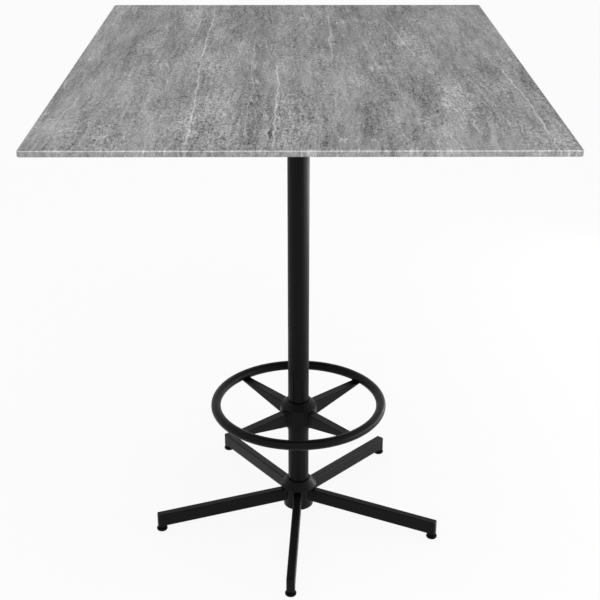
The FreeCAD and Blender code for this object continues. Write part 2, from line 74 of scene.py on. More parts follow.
def half_width(node):
    """Half the width along X of a piece that is round about the column's axis."""
    low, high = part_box(node)
    return (high.x - low.x) / 2


BASE_HUB_RADIUS = half_width("base_hub")
RING_HUB_RADIUS = half_width("foot_ring_hub")
TOP_SOCKET_RADIUS = half_width("top_socket")
RING_LOW, RING_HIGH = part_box("foot_ring_tube")
RING_TUBE_RADIUS = (RING_HIGH.z - RING_LOW.z) / 2
RING_RADIUS = half_width("foot_ring_tube") - RING_TUBE_RADIUS
RING_CENTRE_HEIGHT = (RING_HIGH.z + RING_LOW.z) / 2

MILLIMETRE = 0.001
ROUND_STEPS = 36            # sides of a turned piece, a multiple of six


# ---------------------------------------------------------------- settings
def colour_setting(name, description, default):
    """A colour for a settings group."""
    return bpy.props.FloatVectorProperty(
        name=name, description=description, subtype="COLOR", size=3, min=0, max=1, default=default
    )


def share_setting(name, description, default):
    """A share from 0 to 1 for a settings group."""
    return bpy.props.FloatProperty(
        name=name, description=description, subtype="FACTOR", min=0, max=1, default=default
    )


def angle_setting(name, description, default):
    """An angle in radians for a settings group."""
    return bpy.props.FloatProperty(
        name=name, description=description, subtype="ANGLE", default=default
    )


def length_setting(name, description, least, most, default):
    """A length for a settings group. Its limits and default are given in millimetres."""
    return bpy.props.FloatProperty(
        name=name,
        description=description,
        unit="LENGTH",
        min=least * MILLIMETRE,
        max=most * MILLIMETRE,
        default=default * MILLIMETRE,
    )


class LaminateSettings(bpy.types.PropertyGroup):
    """Colour, contrast and relief of the stone-look laminate on the top."""

    base_colour: colour_setting("Base colour", "Middle grey of the laminate", (0.250, 0.250, 0.250))
    cloud_contrast: share_setting(
        "Cloud contrast", "How far the broad light and dark fields stray from the base colour", 0.72
    )
    vein_contrast: share_setting("Vein contrast", "How light the long thin veins are", 0.90)
    relief: length_setting("Relief depth", "Depth of the pressed texture", 0, 2, 0.45)


class CoatSettings(bpy.types.PropertyGroup):
    """Look of the black powder coat on all steel and castings."""

    colour: colour_setting("Coat colour", "Colour of the powder coat", (0.0020, 0.0020, 0.0021))
    roughness: share_setting("Roughness", "Middle value of the coat's roughness", 0.40)
    grain: length_setting("Grain depth", "Depth of the coat's fine texture", 0, 1, 0.05)


class WeldSettings(bpy.types.PropertyGroup):
    """Size of the fillet welds under the coat."""

    leg_length: length_setting(
        "Leg length", "How far the fillet welds at the hubs reach along each face", 0.2, 6, 3.4
    )
    ripple_pitch: length_setting("Ripple pitch", "Distance between the ripples of a weld", 0.5, 5, 1.6)


class ThreadSettings(bpy.types.PropertyGroup):
    """Threads of the glides and of the tie rod, and the glides' key."""

    glide_pitch: length_setting(
        "Glide thread pitch", "Pitch of the M8 thread on each glide", 0.5, 3, 1.25
    )
    rod_pitch: length_setting(
        "Tie rod thread pitch", "Pitch of the M12 thread on the tie rod", 0.5, 3, 1.75
    )
    key_across_flats: length_setting(
        "Key size", "Width across flats of the hexagon key that turns a glide", 2, 8, 5
    )


class StudioSettings(bpy.types.PropertyGroup):
    """Camera, surroundings and floor."""

    camera_place: bpy.props.FloatVectorProperty(
        name="Camera place",
        description="Where the camera stands",
        subtype="TRANSLATION",
        unit="LENGTH",
        size=3,
        default=(-0.0139, -2.5083, 1.6830),
    )
    camera_pitch: angle_setting("Pitch down", "How far the camera looks down", 0.4234)
    camera_turn: angle_setting("Turn to the right", "How far the camera is turned to the right", 0.0069)
    camera_roll: angle_setting("Roll", "How far the camera is rolled anticlockwise", 0.0008)
    camera_lens: bpy.props.FloatProperty(
        name="Lens",
        description="Focal length in millimetres on a sensor 36 mm wide",
        min=10,
        max=300,
        default=73.82,
    )
    surround_light: bpy.props.FloatProperty(
        name="Surround light",
        description="Strength of the even light from all round",
        min=0,
        max=3,
        default=0.66,
    )
    floor_colour: colour_setting("Floor colour", "Colour of the studio floor", (0.95, 0.95, 0.95))
    floor_glow: share_setting(
        "Floor paleness", "Share of plain white in the floor as the camera sees it", 0.90
    )


SETTINGS = (
    ("pub_table_laminate", LaminateSettings),
    ("pub_table_coat", CoatSettings),
    ("pub_table_welds", WeldSettings),
    ("pub_table_threads", ThreadSettings),
    ("pub_table_studio", StudioSettings),
)


# ---------------------------------------------------------------- material helpers
NOISE_LOW, NOISE_HIGH = 0.25, 0.75      # the values between which a noise mostly stays


class Shading:
    """A node tree in the making. Its methods add nodes and, but for add, return an output."""

    def __init__(self, tree):
        self.tree = tree
        tree.nodes.clear()

    def add(self, kind, inputs=None, **settings):
        """One node, with its inputs given as sockets to link or plain values."""
        node = self.tree.nodes.new("ShaderNode" + kind)
        for key, value in settings.items():
            setattr(node, key, value)
        for key, value in (inputs or {}).items():
            if isinstance(value, bpy.types.NodeSocket):
                self.tree.links.new(value, node.inputs[key])
            else:
                node.inputs[key].default_value = value
        return node

    def math(self, operation, first, second=0.0):
        """One step of arithmetic."""
        return self.add("Math", {0: first, 1: second}, operation=operation).outputs[0]

    def product(self, *values):
        """All the values multiplied, in order."""
        result = values[0]
        for value in values[1:]:
            result = self.math("MULTIPLY", result, value)
        return result

    def total(self, *values):
        """All the values added up, in order."""
        result = values[0]
        for value in values[1:]:
            result = self.math("ADD", result, value)
        return result

    def seen_directly(self):
        """1 for what the camera sees, also in a reflection or through glass."""
        path = self.add("LightPath").outputs
        mirrored = self.math("MAXIMUM", path["Is Glossy Ray"], path["Is Transmission Ray"])
        return self.math("MAXIMUM", path["Is Camera Ray"], mirrored)


class Finish(Shading):
    """A procedural material in the making."""

    def __init__(self, name):
        self.material = bpy.data.materials.new(name)
        self.material.use_nodes = True
        super().__init__(self.material.node_tree)
        coordinates = self.add("TexCoord")
        self.place = coordinates.outputs["Object"]
        self.facing = coordinates.outputs["Normal"]

    def parts(self, vector):
        """The X, Y and Z of a vector, by name."""
        return self.add("SeparateXYZ", {0: vector}).outputs

    def vector(self, x, y, z):
        """A vector from its parts."""
        return self.add("CombineXYZ", {0: x, 1: y, 2: z}).outputs[0]

    def noises(self, table, place=None):
        """The noises of a table, by name. They follow the place on the piece or another place.

        Each row has the repeats per metre along X, Y and Z, the detail, the roughness, the
        distortion and the shift of one noise.
        """
        outputs = {}
        for name, (repeats, detail, roughness, distortion, shift) in table.items():
            mapping = {"Vector": place or self.place, "Scale": repeats, "Location": shift}
            inputs = {
                "Vector": self.add("Mapping", mapping).outputs[0],
                "Scale": 1.0,
                "Detail": detail,
                "Roughness": roughness,
                "Distortion": distortion,
            }
            outputs[name] = self.add("TexNoise", inputs, noise_dimensions="3D").outputs[0]
        return outputs

    def between(self, value, low, high, to_low=0.0, to_high=1.0, smooth=True):
        """Value taken from the range low to high into another range, held at its ends."""
        inputs = {0: value, 1: low, 2: high, 3: to_low, 4: to_high}
        kind = "SMOOTHSTEP" if smooth else "LINEAR"
        return self.add("MapRange", inputs, interpolation_type=kind, clamp=True).outputs[0]

    def line(self, value, centre, width):
        """1 where value passes its centre, falling to 0 at the width on both sides."""
        distance = self.math("ABSOLUTE", self.math("SUBTRACT", value, centre))
        return self.between(distance, 0.0, width, 1.0, 0.0)

    def swing(self, value, amount):
        """A noise from 0 to 1 as a gain about 1 that strays by the amount."""
        return self.between(value, NOISE_LOW, NOISE_HIGH, 1 - amount, 1 + amount, smooth=False)

    def stray(self, value, amount):
        """A noise from 0 to 1 as a share to add or take away, up to the amount."""
        spread = self.between(value, NOISE_LOW, NOISE_HIGH, -1.0, 1.0, smooth=False)
        return self.product(spread, amount)

    def tinted(self, colour, gain):
        """A colour made lighter or darker by a gain that varies over the surface."""
        inputs = {0: tuple(colour), "Scale": gain}
        return self.add("VectorMath", inputs, operation="SCALE").outputs[0]

    def mixed(self, factor, first, second):
        """The first colour where the factor is 0, and the second where it is 1."""
        inputs = {"Factor": factor, 6: first, 7: second}
        return self.add("Mix", inputs, data_type="RGBA").outputs[2]

    def bump(self, height, distance):
        """The facing that a relief gives, as deep as the distance where height goes from 0 to 1."""
        inputs = {"Height": height, "Distance": distance, "Strength": 1.0}
        return self.add("Bump", inputs).outputs[0]

    def finished(self, **sockets):
        """Joins a Principled shader to the output. Socket names use _ for spaces."""
        inputs = {key.replace("_", " "): value for key, value in sockets.items()}
        shader = self.add("BsdfPrincipled", inputs)
        self.add("OutputMaterial", {"Surface": shader.outputs[0]})
        return self.material


def dress_nodes(slot, material):
    """Gives a finish to every carried-over solid of one material slot."""
    for part in RECORD["subparts"]:
        if part["material_slot"] == slot:
            for held in NODES[part["node"]].material_slots:
                held.material = material


def finish_of(node):
    """The finish that a carried-over solid has been given."""
    return NODES[node].material_slots[0].material


# ---------------------------------------------------------------- laminate
VEINS = (
    # X where it crosses the middle of the top, lean, first and last Y, half width, strength
    (-0.200, -0.010, -0.62, 0.62, 0.0030, 1.00),
    (-0.237, 0.012, 0.02, 0.48, 0.0022, 0.55),
    (-0.094, 0.008, -0.62, 0.26, 0.0018, 0.75),
    (-0.045, 0.004, -0.62, 0.02, 0.0030, 1.00),
    (0.066, 0.016, 0.00, 0.62, 0.0020, 0.80),
    (0.158, -0.080, -0.10, 0.22, 0.0022, 0.65),
    (0.252, -0.110, 0.02, 0.42, 0.0020, 0.90),
    (0.330, -0.060, -0.46, -0.28, 0.0018, 0.60),
    (0.150, -0.200, -0.62, -0.46, 0.0022, 0.90),
    (0.410, -0.020, -0.62, 0.00, 0.0030, 1.00),
    (-0.400, 0.050, -0.52, -0.22, 0.0020, 0.55),
)
DARK_SEAMS = ((-0.053, 0.004, -0.62, 0.04, 0.0020, 1.00),)
CRACKLE_ZONES = (
    # the same values for the broken ground beside the veins
    (-0.035, -0.020, -0.62, 0.06, 0.034, 1.00),
    (0.265, -0.060, -0.42, 0.08, 0.045, 1.00),
    (-0.160, 0.000, -0.16, 0.12, 0.050, 0.90),
    (-0.155, 0.010, -0.62, -0.18, 0.048, 0.85),
    (0.130, -0.200, -0.56, -0.36, 0.040, 0.95),
    (0.245, -0.050, 0.14, 0.48, 0.050, 0.80),
    (-0.245, 0.010, 0.08, 0.56, 0.050, 0.80),
    (0.074, 0.000, 0.08, 0.30, 0.030, 0.90),
)
STREAK_FADE = 0.07          # metres over which a vein or zone fades out at each end
ZONE_SHARE = 0.26           # how far a zone raises the noise that breaks up the ground
NO_SHIFT = (0.0, 0.0, 0.0)
SWAY_NOISES = {
    "sway": ((1.5, 2.0, 1.0), 2.0, 0.5, 0.0, NO_SHIFT),
    "tremble": ((20.0, 19.0, 1.0), 3.0, 0.5, 0.0, NO_SHIFT),
}
SWAY_REACHES = {"sway": 0.013, "tremble": 0.0050}       # metres to either side
LAMINATE_NOISES = {
    "fields": ((6.0, 1.4, 1.0), 3.0, 0.5, 0.0, NO_SHIFT),
    "bands": ((20.0, 2.8, 1.0), 4.0, 0.55, 0.3, (3.0, 1.0, 0.0)),
    "fibres": ((125.0, 9.0, 60.0), 4.0, 0.68, 0.8, NO_SHIFT),
    "grain": ((215.0, 78.0, 110.0), 3.0, 0.65, 0.0, NO_SHIFT),
    "breaks": ((9.0, 14.0, 1.0), 3.0, 0.6, 0.0, (1.0, 7.0, 0.0)),
    "patches": ((8.5, 3.0, 1.0), 3.0, 0.6, 0.0, (5.0, 2.0, 0.0)),
    "filaments": ((15.0, 0.9, 1.0), 2.0, 0.5, 0.0, (2.0, 5.0, 0.0)),
    "worms": ((120.0, 44.0, 60.0), 2.0, 0.5, 1.2, NO_SHIFT),
    "swirls": ((62.0, 22.0, 40.0), 3.0, 0.6, 1.6, (4.0, 9.0, 0.0)),
}
MARK_LINES = {
    # marks along which a noise passes a value: noise, value, distance from it to the mark's side
    "fine_veins": ("filaments", 0.47, 0.012),
    "crackle": ("worms", 0.5, 0.08),
    "curls": ("swirls", 0.5, 0.030),
    # curl_painted_shade is a painted shade line beside each raised curl
    "curl_painted_shade": ("swirls", 0.445, 0.035),
}
MARK_BREAKS = {
    # values of the noise "breaks" between which a mark comes in, and the share it starts with
    "veins": (0.32, 0.52, 0.40),
    "seam": (0.40, 0.60, 0.0),
    "fine_veins": (0.50, 0.62, 0.0),
    "curls": (0.34, 0.60, 0.25),
    "curl_painted_shade": (0.34, 0.60, 0.25),
}
CLOUD_SHARES = {"fields": 0.34, "bands": 0.52, "fibres": 0.66, "grain": 0.95}
VEIN_SHARES = {
    "veins": 1.15,
    "fine_veins": 0.80,
    "crackle": 0.90,
    "curls": 0.80,
    # curl_painted_shade darkens the decor as painted shade beside each curl
    "curl_painted_shade": -0.45,
    "pits": -0.28,
    "seam": -0.60,
}
# gains of the painted highlight along the arris and of the painted light on the edge faces
ARRIS_PAINTED_HIGHLIGHT = 1.25
EDGE_PAINTED_LIGHT = 0.45
RELIEF_SHARES = {
    "fibres": 0.25,
    "grain": 0.35,
    "crackle": 0.45,
    "curls": 0.30,
    "pits": -0.20,
    "veins": 0.50,
    "fine_veins": 0.30,
}
UNDERSIDE_PAINTED_SHADE_SHARE = 0.12      # lightness of the underside as a share of the base colour, kept dark as painted shade


def streaks(finish, across, along, rows):
    """Long thin veins or zones between two places along Y, each fading out all round."""
    shares = []
    for middle, lean, low, high, reach, strength in rows:
        centre = finish.math("ADD", finish.math("MULTIPLY", along, lean), middle)
        core = finish.line(finish.math("SUBTRACT", across, centre), 0.0, reach)
        start = finish.between(along, low, low + STREAK_FADE)
        end = finish.between(along, high, high - STREAK_FADE)
        shares.append(finish.product(core, start, end, strength))
    return finish.total(*shares)


def laminate_place(finish, facing):
    """The decor's place across and along the top, and both with the height as a vector.

    It sways a little, and on the long sides it goes on across the edge.
    """
    place = finish.parts(finish.place)
    noise = finish.noises(SWAY_NOISES)
    shifts = [
        finish.between(noise[name], 0.2, 0.8, -reach, reach, smooth=False)
        for name, reach in SWAY_REACHES.items()
    ]
    side_edge = finish.product(place["Z"], finish.math("ABSOLUTE", facing["X"]))
    across = finish.total(place["X"], *shifts, side_edge)
    return across, place["Y"], finish.vector(across, place["Y"], place["Z"])


def laminate_marks(finish, noise, across, along):
    """The veins, crackle, curls and pits of the decor, by name."""
    marks = {
        "veins": streaks(finish, across, along, VEINS),
        "seam": streaks(finish, across, along, DARK_SEAMS),
    }
    for name, (source, value, width) in MARK_LINES.items():
        marks[name] = finish.line(noise[source], value, width)
    for name, (low, high, least) in MARK_BREAKS.items():
        marks[name] = finish.product(marks[name], finish.between(noise["breaks"], low, high, least))
    zones = streaks(finish, across, along, CRACKLE_ZONES)
    raised = finish.total(noise["patches"], finish.product(zones, ZONE_SHARE))
    broken = finish.between(raised, 0.54, 0.70)
    marks["crackle"] = finish.product(marks["crackle"], broken)
    marks["pits"] = finish.product(finish.between(noise["worms"], 0.43, 0.30), broken)
    return marks


def laminate_gain(finish, settings, noise, marks, upward):
    """How light the decor is, as a gain on the base colour. The arris gets a painted highlight and the
    edge faces get painted light.
    """
    clouds = {
        name: finish.stray(noise[name], settings.cloud_contrast * share)
        for name, share in CLOUD_SHARES.items()
    }
    grain_share = finish.between(noise["patches"], 0.36, 0.56, 0.45, 1.0)
    clouds["grain"] = finish.product(clouds["grain"], grain_share)
    lights = [
        finish.product(marks[name], settings.vein_contrast * share)
        for name, share in VEIN_SHARES.items()
    ]
    # painted highlight along the rounded arris and painted light over the edge faces
    arris = finish.product(finish.between(upward, 0.05, 0.25), finish.between(upward, 0.99, 0.94))
    edge = finish.between(upward, 0.50, 0.05)
    painted_edge_light = [finish.product(arris, ARRIS_PAINTED_HIGHLIGHT), finish.product(edge, EDGE_PAINTED_LIGHT)]
    return finish.total(1.0, *clouds.values(), *lights, *painted_edge_light)


def laminate_finish(settings):
    """Grey stone-look laminate with a pressed relief, over a plain dark underside whose darkness is
    painted shade.
    """
    finish = Finish("stone_look_laminate")
    facing = finish.parts(finish.facing)
    across, along, place = laminate_place(finish, facing)
    noise = finish.noises(LAMINATE_NOISES, place)
    marks = laminate_marks(finish, noise, across, along)
    gain = laminate_gain(finish, settings, noise, marks, facing["Z"])
    decor = finish.tinted(settings.base_colour, gain)
    # the underside: a plain, near black colour, as painted shade under the top
    plain = [channel * UNDERSIDE_PAINTED_SHADE_SHARE for channel in settings.base_colour]
    painted_shade_underside = finish.tinted(plain, finish.swing(noise["fibres"], 0.10))
    below = finish.between(facing["Z"], -0.5, -0.9)
    heights = {**noise, **marks}
    relief = finish.total(
        *[finish.product(heights[name], share) for name, share in RELIEF_SHARES.items()]
    )
    worn = finish.total(marks["crackle"], noise["grain"])
    return finish.finished(
        Base_Color=finish.mixed(below, decor, painted_shade_underside),
        Roughness=finish.between(worn, 0.2, 1.4, 0.60, 0.74, smooth=False),
        Specular_IOR_Level=0.20,
        Normal=finish.bump(relief, settings.relief),
    )


# ---------------------------------------------------------------- coat, nylon and metals
COAT_NOISES = {
    "peel": ((240.0, 240.0, 240.0), 1.0, 0.5, 0.0, NO_SHIFT),
    "grain": ((950.0, 950.0, 950.0), 2.0, 0.6, 0.0, NO_SHIFT),
    "handling": ((16.0, 16.0, 9.0), 4.0, 0.62, 0.5, NO_SHIFT),
    "dust": ((60.0, 60.0, 60.0), 5.0, 0.7, 0.0, NO_SHIFT),
}
DUST_LIGHT = 0.25
NYLON_NOISES = {
    "flow": ((70.0, 70.0, 220.0), 3.0, 0.5, 0.8, NO_SHIFT),
    "spark": ((1400.0, 1400.0, 1400.0), 1.0, 0.5, 0.0, NO_SHIFT),
    "scuffs": ((300.0, 120.0, 200.0), 4.0, 0.7, 0.0, NO_SHIFT),
}
NYLON_COLOUR = (0.003, 0.003, 0.003)
NYLON_RELIEF = 0.04 * MILLIMETRE
SCUFF_LIGHT = 2.2
METAL_NOISES = {
    "cloud": ((90.0, 90.0, 90.0), 3.0, 0.55, 0.0, NO_SHIFT),
    "turning": ((60.0, 60.0, 3200.0), 2.0, 0.6, 0.0, NO_SHIFT),
    "spots": ((380.0, 380.0, 380.0), 4.0, 0.7, 0.0, NO_SHIFT),
}
TURNING_DEPTH = 0.012 * MILLIMETRE
METALS = {
    # colour, roughness, how dark its stains are
    "zinc_plated_steel": ((0.56, 0.56, 0.57), 0.32, 0.25),
    "blackened_steel": ((0.05, 0.05, 0.055), 0.38, 0.20),
    "brass": ((0.62, 0.45, 0.18), 0.30, 0.15),
}


def coat_finish(settings):
    """Black powder coat: a fine grain over a soft orange peel, faint handling marks and dust."""
    finish = Finish("black_powder_coat")
    noise = finish.noises(COAT_NOISES)
    dust = finish.between(noise["dust"], 0.55, 0.85)
    upward = finish.between(finish.parts(finish.facing)["Z"], 0.2, 1.0)
    settled = finish.product(dust, upward, DUST_LIGHT)
    gain = finish.math("ADD", finish.swing(noise["handling"], 0.14), settled)
    smoothest, roughest = settings.roughness - 0.05, settings.roughness + 0.05
    handled = finish.between(noise["handling"], 0.3, 0.7, smoothest, roughest)
    height = finish.total(finish.product(noise["peel"], 0.6), finish.product(noise["grain"], 0.4))
    return finish.finished(
        Base_Color=finish.tinted(settings.colour, gain),
        Roughness=finish.total(handled, finish.product(settled, 0.2)),
        Specular_IOR_Level=0.12,
        Normal=finish.bump(height, settings.grain * 2),
    )


def nylon_finish():
    """Black moulded nylon with a faint flow mark and a duller, scuffed sole."""
    finish = Finish("black_nylon")
    noise = finish.noises(NYLON_NOISES)
    sole = finish.between(finish.parts(finish.facing)["Z"], -0.4, -0.95)
    worn = finish.product(sole, finish.between(noise["scuffs"], 0.5, 0.8))
    gain = finish.math("ADD", finish.swing(noise["flow"], 0.12), finish.product(worn, SCUFF_LIGHT))
    flowed = finish.between(noise["flow"], 0.3, 0.7, 0.52, 0.62)
    height = finish.total(noise["flow"], finish.product(noise["spark"], 0.5))
    return finish.finished(
        Base_Color=finish.tinted(NYLON_COLOUR, gain),
        Roughness=finish.total(flowed, finish.product(worn, 0.20)),
        Specular_IOR_Level=0.05,
        Normal=finish.bump(height, NYLON_RELIEF),
    )


def metal_finish(name):
    """A plated or bare metal: a little cloudy, with turning marks about Z and small stains."""
    colour, roughness, stain = METALS[name]
    finish = Finish(name)
    noise = finish.noises(METAL_NOISES)
    spots = finish.between(noise["spots"], 0.60, 0.78)
    gain = finish.math("SUBTRACT", finish.swing(noise["cloud"], 0.12), finish.product(spots, stain))
    dulled = finish.total(noise["cloud"], finish.product(spots, 0.6))
    return finish.finished(
        Base_Color=finish.tinted(colour, gain),
        Metallic=1.0,
        Roughness=finish.between(dulled, 0.3, 1.1, roughness - 0.06, roughness + 0.14),
        Normal=finish.bump(noise["turning"], TURNING_DEPTH),
    )


# ---------------------------------------------------------------- mesh helpers
THREAD_DEPTH_SHARE = 0.6134         # depth of a metric thread as a share of its pitch
RUN_OUT_SHARE = 0.75                # length over which a thread runs out, as a share of its pitch
THREAD_PROFILE = ((0.0, 0.0), (0.34, 1.0), (0.50, 1.0), (0.84, 0.0))    # shares of pitch and depth
SAME_PLACE_DIGITS = 7               # decimals of a metre to which vertices at one place agree
WELD_SMOOTHING = math.radians(60)
THREAD_SMOOTHING = math.radians(35)
NUT_SMOOTHING = math.radians(20)


def new_piece(name, shape, material, body, smoothing, replaced=()):
    """A mesh piece in the frame's own coordinates, riding on a body.

    shape is its vertices and faces. Its edges stay sharp where the faces meet at more than
    the smoothing angle.
    """
    vertices, faces = shape
    mesh = bpy.data.meshes.new(name)
    mesh.from_pydata([tuple(vertex) for vertex in vertices], [], faces)
    mesh.validate()
    mesh.materials.append(material)
    piece = bpy.data.objects.new(name, mesh)
    bpy.context.scene.collection.objects.link(piece)
    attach(piece, body)
    if replaced:
        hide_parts(*replaced)
    mesh.shade_smooth()
    mesh.set_sharp_from_angle(angle=smoothing)


def hexagon_radius(across_flats, angle):
    """Distance from the centre of a hexagon to its side at an angle."""
    apothem = across_flats / 2
    within = (angle % (math.pi / 3)) - math.pi / 6
    return apothem / math.cos(within)


def around(centre, reach, step, height):
    """The place at one of the even steps round a vertical axis."""
    angle = 2 * math.pi * step / ROUND_STEPS
    return (centre.x + reach * math.cos(angle), centre.y + reach * math.sin(angle), height)


def ring_of(centre, radius, height):
    """The vertices of a ring. Its radius is a number or a function of the angle."""
    vertices = []
    for step in range(ROUND_STEPS):
        reach = radius(2 * math.pi * step / ROUND_STEPS) if callable(radius) else radius
        vertices.append(around(centre, reach, step, height))
    return vertices


def turned_rings(centre, rings, closed_below=True, closed_above=True):
    """Vertices and faces of a piece made of rings about a vertical axis.

    Each ring is (radius, height). The first and the last ring are closed with a fan, unless
    they are to stay open.
    """
    vertices = []
    for radius, height in rings:
        vertices += ring_of(centre, radius, height)
    faces = []
    last = len(rings) - 1
    for number in range(last):
        faces += ring_faces(number * ROUND_STEPS, (number + 1) * ROUND_STEPS)
    if closed_below:
        faces += fan_faces(vertices, centre, 0, rings[0][1], upward=False)
    if closed_above:
        faces += fan_faces(vertices, centre, last * ROUND_STEPS, rings[last][1], upward=True)
    return vertices, faces


def ring_faces(lower, upper):
    """Quads between two rings, given by the number of each one's first vertex."""
    faces = []
    for step in range(ROUND_STEPS):
        following = (step + 1) % ROUND_STEPS
        faces.append((lower + step, lower + following, upper + following, upper + step))
    return faces


def fan_faces(vertices, centre, first, height, upward):
    """Closes a ring with triangles to a new vertex at its centre."""
    hub = len(vertices)
    vertices.append((centre.x, centre.y, height))
    faces = []
    for step in range(ROUND_STEPS):
        following = (step + 1) % ROUND_STEPS
        if upward:
            faces.append((first + step, first + following, hub))
        else:
            faces.append((first + following, first + step, hub))
    return faces


def flat_end(centre, radius, height, upward):
    """Vertices and faces of the flat end of a rod."""
    vertices = ring_of(centre, radius, height)
    faces = fan_faces(vertices, centre, 0, height, upward)
    return vertices, faces


def threaded_shank(centre, radius, pitch, low, high):
    """Vertices and faces of a right-hand thread between two heights, open at both ends.

    The first and last ROUND_STEPS vertices are plain rings at the thread's root. Each step
    of the helix carries a root, a crest and their flanks, and the thread runs out into the
    root before both ends.
    """
    depth = THREAD_DEPTH_SHARE * pitch
    run_out = RUN_OUT_SHARE * pitch
    root = radius - depth
    turns = int((high - low) / pitch) + 2
    vertices = []
    for step in range(turns * ROUND_STEPS + 1):
        start = low - pitch + pitch * step / ROUND_STEPS
        for along, rise in THREAD_PROFILE:
            height = min(max(start + along * pitch, low), high)
            fade = min(height - low, high - height, run_out) / run_out
            vertices.append(around(centre, root + depth * rise * fade, step, height))
    points = len(THREAD_PROFILE)
    faces = []
    for step in range(turns * ROUND_STEPS):
        here, there = step * points, (step + 1) * points
        for point in range(points - 1):
            faces.append((here + point, there + point, there + point + 1, here + point + 1))
        above = here + ROUND_STEPS * points
        if step < (turns - 1) * ROUND_STEPS:
            faces.append((here + points - 1, there + points - 1, above + points, above))
    return vertices, faces


def fused(*shapes):
    """Several (vertices, faces) as one, with vertices at one place joined.

    Faces that have no area left are left out.
    """
    kept, sound, seen = [], [], {}
    for vertices, faces in shapes:
        numbers = []
        for vertex in vertices:
            key = tuple(round(value, SAME_PLACE_DIGITS) for value in vertex)
            if key not in seen:
                seen[key] = len(kept)
                kept.append(vertex)
            numbers.append(seen[key])
        for face in faces:
            corners = []
            for number in face:
                if numbers[number] not in corners:
                    corners.append(numbers[number])
            if len(corners) > 2:
                sound.append(tuple(corners))
    return kept, sound


# ---------------------------------------------------------------- welds
HUB_SEAM_TOLERANCE = 0.05 * MILLIMETRE
RING_SEAM_TOLERANCE = 0.12 * MILLIMETRE
RING_SEAM_SHARE = 0.4       # of the tube's radius: how far inside its centre line the seam is sought
SECTIONS_PER_RIPPLE = 3
RIPPLE_SHARE = 0.04         # of the weld's size, up and down
UNEVEN_SHARE = 0.03         # of the weld's size, by chance
RIPPLE_SEED = 7
END_SHARE = 0.45            # size of a weld's open ends
RING_WELD_SHARE = 0.6       # size of the ring's welds beside those at the hubs
LEAST_SECTIONS = 3
FILLET_PROFILE = (
    # shares of the leg length along the two faces, from the root round the weld's hollow face
    (-0.20, -0.20),
    (1.00, -0.03),
    (0.80, 0.03),
    (0.55, 0.12),
    (0.31, 0.31),
    (0.12, 0.55),
    (0.03, 0.80),
    (-0.03, 1.00),
)


def outline_where(node, is_on_seam, flatten):
    """The outer outline of the vertices of a node that lie on a seam, in order.

    flatten gives a vertex's place in the plane in which the outline is found.
    """
    points = [vertex.co.copy() for vertex in NODES[node].data.vertices if is_on_seam(vertex.co)]
    if len(points) < 3:
        raise RuntimeError(f"{node} has no seam where its weld belongs")
    order = convex_hull_2d([flatten(point) for point in points])
    return [points[number] for number in order]


def directions_of(node):
    """Level directions along and across a leg, arm or spoke, away from the column."""
    low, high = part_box(node)
    outward = Vector((low.x + high.x, low.y + high.y, 0)).normalized()
    return outward, Vector((-outward.y, outward.x, 0))


def seam_on_hub(node, radius):
    """The outline of the end of a leg, arm or spoke where it meets a round hub."""
    sideways = directions_of(node)[1]

    def is_on_seam(place):
        return abs(math.hypot(place.x, place.y) - radius) < HUB_SEAM_TOLERANCE

    return outline_where(node, is_on_seam, lambda place: Vector((place.dot(sideways), place.z)))


def hub_and_member(node, seam):
    """For a place on a hub's seam, the directions away from it along the hub and the member."""
    outward = directions_of(node)[0]
    middle = sum(seam, Vector()) / len(seam)

    def faces_at(place, along):
        away = along.cross(Vector((place.x, place.y, 0)).normalized()).normalized()
        if away.dot(place - middle) < 0:
            away.negate()
        return away, outward

    return faces_at


def seam_on_ring(node):
    """The side nearest the column of the saddle in which the foot ring lies on a spoke."""
    outward, sideways = directions_of(node)
    reach = RING_RADIUS - RING_SEAM_SHARE * RING_TUBE_RADIUS
    places = {}
    for vertex in NODES[node].data.vertices:
        place = vertex.co.copy()
        out = math.hypot(place.x, place.y) - RING_RADIUS
        from_centre = math.hypot(out, place.z - RING_CENTRE_HEIGHT)
        is_on_tube = abs(from_centre - RING_TUBE_RADIUS) < RING_SEAM_TOLERANCE
        if is_on_tube and place.dot(outward) < reach:
            places[round(place.dot(sideways), 5)] = place
    if len(places) < 2:
        raise RuntimeError(f"{node} has no saddle for the foot ring")
    return [places[key] for key in sorted(places)]


def spoke_and_ring(place, along):
    """The directions away from the saddle's seam along the spoke and up the ring's tube."""
    radial = Vector((place.x, place.y, 0)).normalized()
    centre = radial * RING_RADIUS + Vector((0, 0, RING_CENTRE_HEIGHT))
    up = along.cross((place - centre).normalized()).normalized()
    if up.z < 0:
        up.negate()
    inward = along.cross(Vector((0, 0, 1))).normalized()
    if inward.dot(radial) > 0:
        inward.negate()
    return inward, up


def without_bottom(seam):
    """An outline opened at the longest of the sides that lie along its lowest height."""
    lowest = min(point.z for point in seam)

    def length_at_bottom(number):
        before, after = seam[number - 1], seam[number]
        if max(before.z, after.z) >= lowest + MILLIMETRE:
            return 0
        return (after - before).length

    start = max(range(len(seam)), key=length_at_bottom)
    return seam[start:] + seam[:start]


def upright_sides(seam, size):
    """The two upright sides of an outline, stopped short of its top by twice the weld's size."""
    top = max(point.z for point in seam) - 2 * size
    bottom = min(point.z for point in seam)
    lower = [point for point in seam if point.z < bottom + MILLIMETRE]
    ends = max(((a, b) for a in lower for b in lower), key=lambda pair: (pair[0] - pair[1]).length)
    return [[end, Vector((end.x, end.y, top))] for end in ends]


def spaced(points, gap, closed):
    """Points at even distances along a line of points."""
    line = points + points[:1] if closed else points
    lengths = [(line[i + 1] - line[i]).length for i in range(len(line) - 1)]
    count = max(int(sum(lengths) / gap), LEAST_SECTIONS)
    step = sum(lengths) / count
    result, along, index = [], 0.0, 0
    for number in range(count if closed else count + 1):
        target = number * step
        while index < len(lengths) - 1 and along + lengths[index] < target:
            along += lengths[index]
            index += 1
        share = min((target - along) / lengths[index], 1.0)
        result.append(line[index].lerp(line[index + 1], share))
    return result


